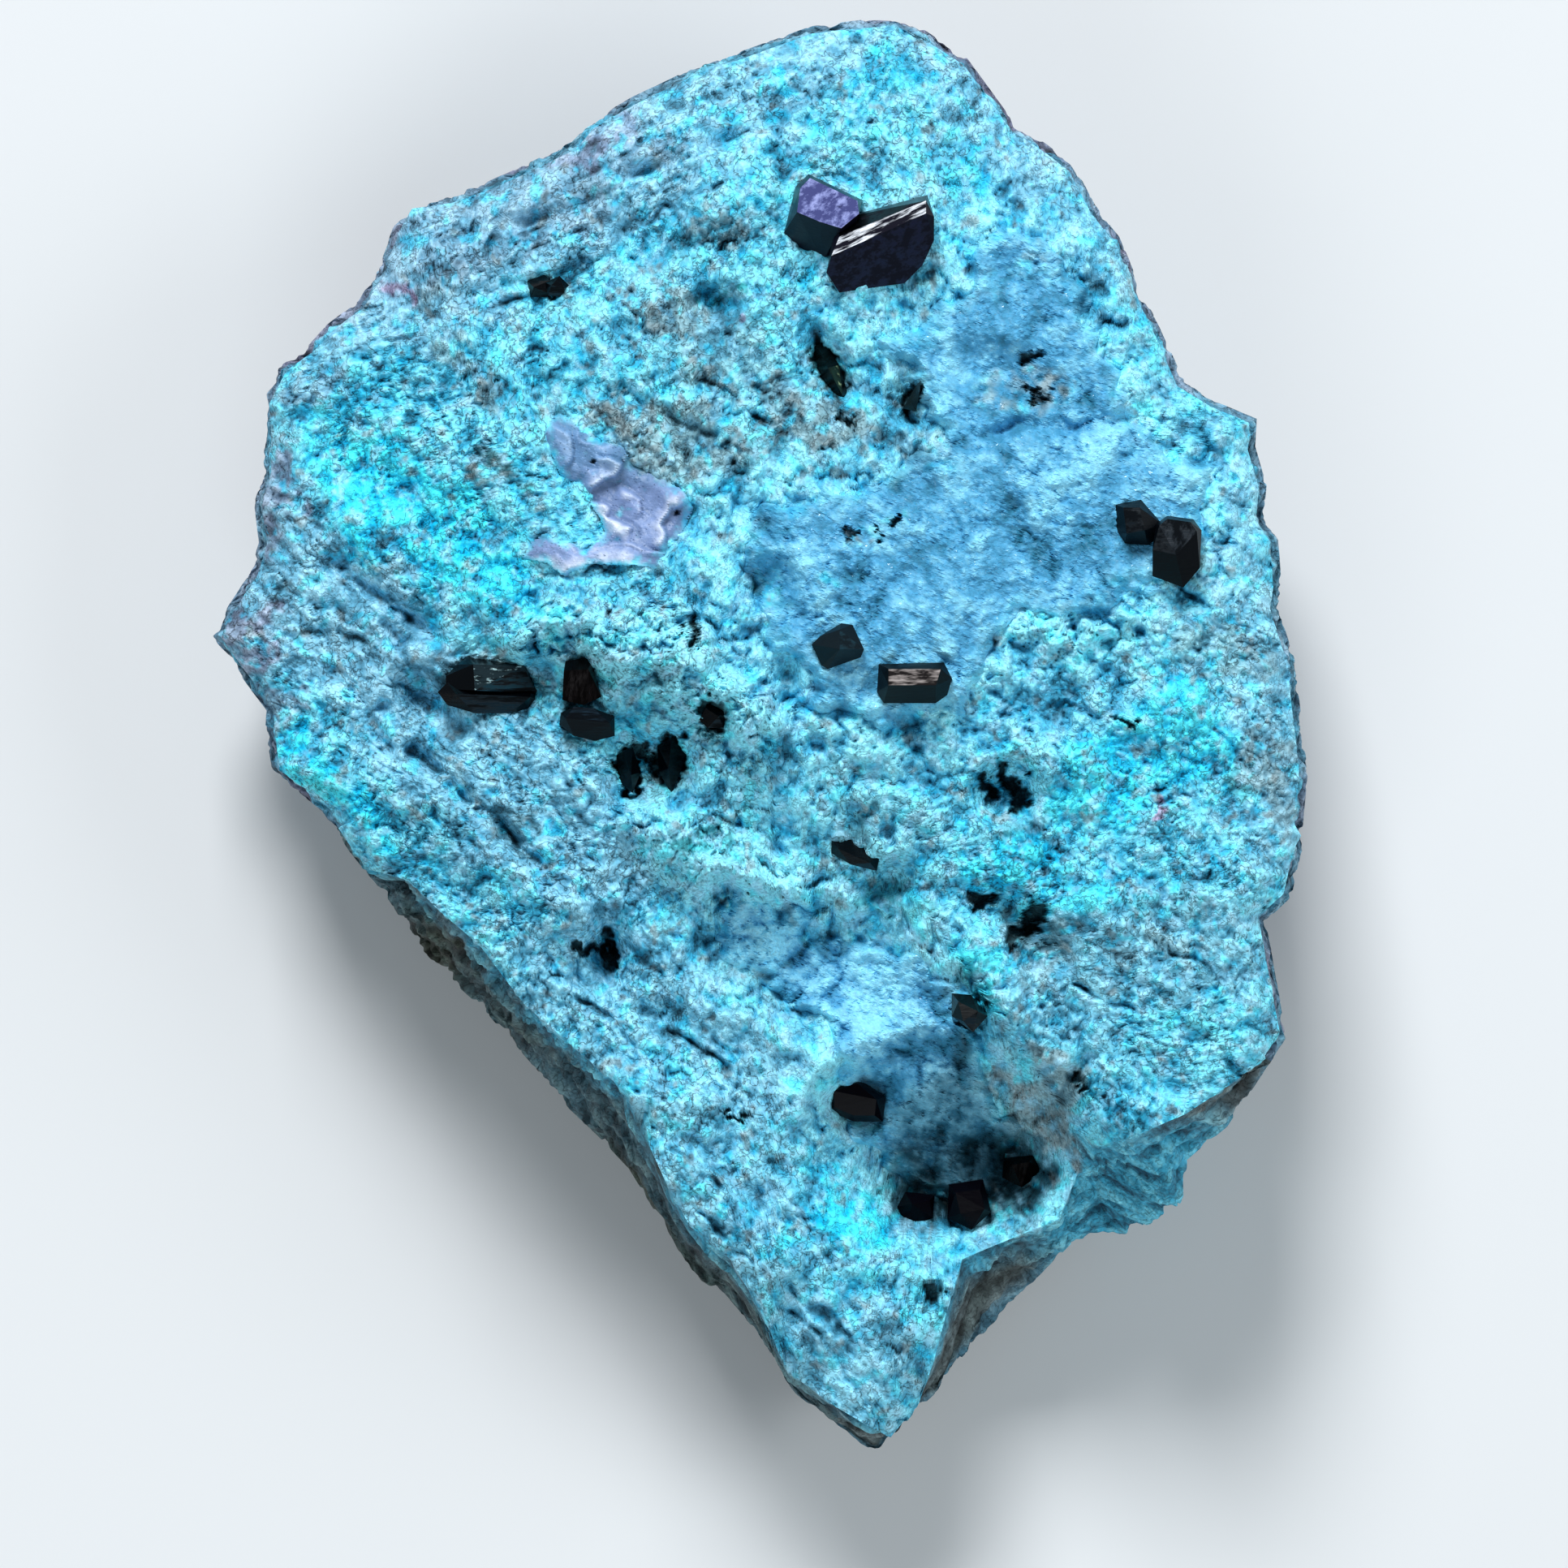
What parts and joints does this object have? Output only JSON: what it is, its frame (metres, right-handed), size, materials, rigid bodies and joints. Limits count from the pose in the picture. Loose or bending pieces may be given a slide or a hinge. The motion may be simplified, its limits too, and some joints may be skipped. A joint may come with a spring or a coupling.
{
  "type": "malachite and chrysocolla hand specimen",
  "caption": "Hand specimen of turquoise chrysocolla rock with quartz druse, dark flat-faced malachite crystals, a deep hollow and a pale folded mineral film.",
  "frame": {"origin": "under the middle of the specimen's plan, on the flat back that it rests on", "axes": "+Z out of the displayed face, +Y to the top of the face, +X to the right of the face"},
  "size_m": [0.0677, 0.0886, 0.0264],
  "materials": {
    "turquoise_rock": "matt, granular",
    "quartz_druse": "sparkling, crystalline",
    "dark_crystal": "glossy, flat-faced",
    "lavender_film": "satin"
  },
  "bodies": {
    "root": {"matrix": "turquoise_rock", "upper_druse": "quartz_druse", "hollow_druse": "quartz_druse", "mineral_film": "lavender_film", "top_twin_crystals": "dark_crystal", "right_twin_crystals": "dark_crystal", "centre_rhomb_crystal": "dark_crystal", "centre_tabular_crystal": "dark_crystal", "left_blade_crystals": "dark_crystal", "left_block_crystal": "dark_crystal", "left_lower_blade_crystal": "dark_crystal", "upper_left_twin_crystals": "dark_crystal", "slot_crystal": "dark_crystal", "sliver_crystal": "dark_crystal", "pit_crystal_1": "dark_crystal", "pit_crystal_2": "dark_crystal", "pit_crystal_3": "dark_crystal", "pocket_crystal": "dark_crystal", "hollow_crystal_1": "dark_crystal", "hollow_crystal_2": "dark_crystal", "hollow_crystal_3": "dark_crystal", "basin_edge_crystal": "dark_crystal", "slope_crystal": "dark_crystal"}
  },
  "joints": []
}
